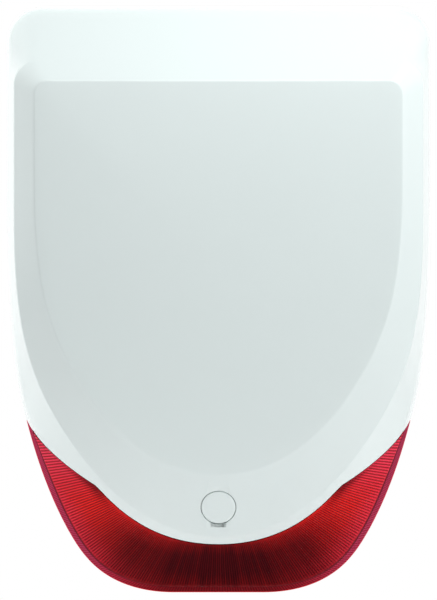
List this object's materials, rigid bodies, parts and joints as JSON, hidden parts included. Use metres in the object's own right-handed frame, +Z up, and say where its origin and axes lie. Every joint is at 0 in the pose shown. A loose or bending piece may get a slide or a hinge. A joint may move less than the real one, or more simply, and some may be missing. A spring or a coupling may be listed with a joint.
{
  "type": "alarm siren",
  "caption": "Wall-mounted outdoor alarm siren: shield-faced white cover hinged at its top, ribbed red flash lens round the bottom, capped cover screw.",
  "frame": {"origin": "middle of the back plate's wall face", "axes": "+Z up, the front faces -Y, +X to the right seen from the front; the wall is the plane y = 0"},
  "size_m": [0.208, 0.064, 0.2878],
  "materials": {
    "cover": "smooth white UV-stable gloss plastic",
    "lens": "translucent red ribbed polycarbonate",
    "plate": "fine-grained white plastic",
    "black_plastic": "fine-grained black plastic",
    "board": "green solder mask",
    "strobe_board": "black solder mask",
    "zinc_steel": "zinc-plated steel",
    "brass": "machined brass",
    "rubber": "moulded black rubber",
    "green_plastic": "moulded green plastic",
    "cell_wrap": "blue shrink sleeve",
    "capacitor_sleeve": "dark shrink sleeve",
    "reflector": "metallised plastic",
    "led_lens": "clear and yellow encapsulant",
    "wire_red": "red lead insulation",
    "socket": "natural nylon",
    "grey_plastic": "grey moulded plastic"
  },
  "bodies": {
    "base": {"back_plate": "plate", "cable_grommet": "rubber", "screw_insert": "brass", "hinge_pin_left": "zinc_steel", "hinge_pin_right": "zinc_steel", "main_board": "board", "terminal_block": "green_plastic", "controller_chip": "black_plastic", "capacitor_1": "capacitor_sleeve", "capacitor_2": "capacitor_sleeve", "boost_transformer": "black_plastic", "battery_socket": "socket", "sounder_socket": "socket", "strobe_socket": "socket", "battery_holder": "black_plastic", "battery_cell_left": "cell_wrap", "battery_cell_right": "cell_wrap", "battery_lead": "wire_red", "sounder_body": "black_plastic", "sounder_disc": "brass", "sounder_horn": "black_plastic", "sounder_lead": "wire_red", "strobe_reflector": "reflector", "strobe_board": "strobe_board", "strobe_screw": "zinc_steel", "strobe_lead": "wire_red", "tamper_housing": "grey_plastic", "board_screw_1": "zinc_steel", "battery_contact_1": "zinc_steel", "strobe_led_1": "led_lens", "board_screw_2": "zinc_steel", "battery_contact_2": "zinc_steel", "strobe_led_2": "led_lens", "board_screw_3": "zinc_steel", "battery_contact_3": "zinc_steel", "strobe_led_3": "led_lens", "board_screw_4": "zinc_steel", "battery_contact_4": "zinc_steel", "strobe_led_4": "led_lens", "sounder_screw_1": "zinc_steel", "sounder_screw_2": "zinc_steel", "sounder_screw_3": "zinc_steel", "reflector_screw_1": "zinc_steel", "reflector_screw_2": "zinc_steel"},
    "cover": {"front_cover": "cover", "flash_lens": "lens"},
    "screw_cap": {"screw_cap": "cover"},
    "screw_clip": {"screw_clip": "zinc_steel"},
    "cover_screw": {"cover_screw": "zinc_steel", "screw_seal": "rubber"},
    "wall_plunger": {"wall_plunger": "wire_red"},
    "cover_plunger": {"cover_plunger": "wire_red"}
  },
  "joints": [
    {"name": "cover_swing", "type": "hinge", "parent": "base", "child": "cover", "pos_m": [0, -0.01, 0.1375], "axis": [-1, 0, 0], "range_deg": [0, 70]},
    {"name": "cap_pull", "type": "slide", "parent": "cover", "child": "screw_cap", "axis": [0, -0.9345, -0.3559], "range_m": [0, 0.012]},
    {"name": "screw_back_out", "type": "slide", "parent": "cover", "child": "screw_clip", "axis": [0, -1, 0], "range_m": [0, 0.007]},
    {"name": "screw_turn", "type": "hinge", "parent": "screw_clip", "child": "cover_screw", "pos_m": [0, -0.03, -0.1016], "axis": [0, -1, 0], "range_deg": [0, 3601]},
    {"name": "wall_plunger_travel", "type": "slide", "parent": "base", "child": "wall_plunger", "axis": [0, 1, 0], "range_m": [0, 0.003]},
    {"name": "cover_plunger_travel", "type": "slide", "parent": "base", "child": "cover_plunger", "axis": [0, -1, 0], "range_m": [0, 0.0031]}
  ],
  "couplings": [
    {"joint": "screw_turn", "follows": "screw_back_out", "rad_per_m": 8976},
    {"joint": "cover_plunger_travel", "follows": "cover_swing", "m_per_rad": 0.0024555}
  ]
}
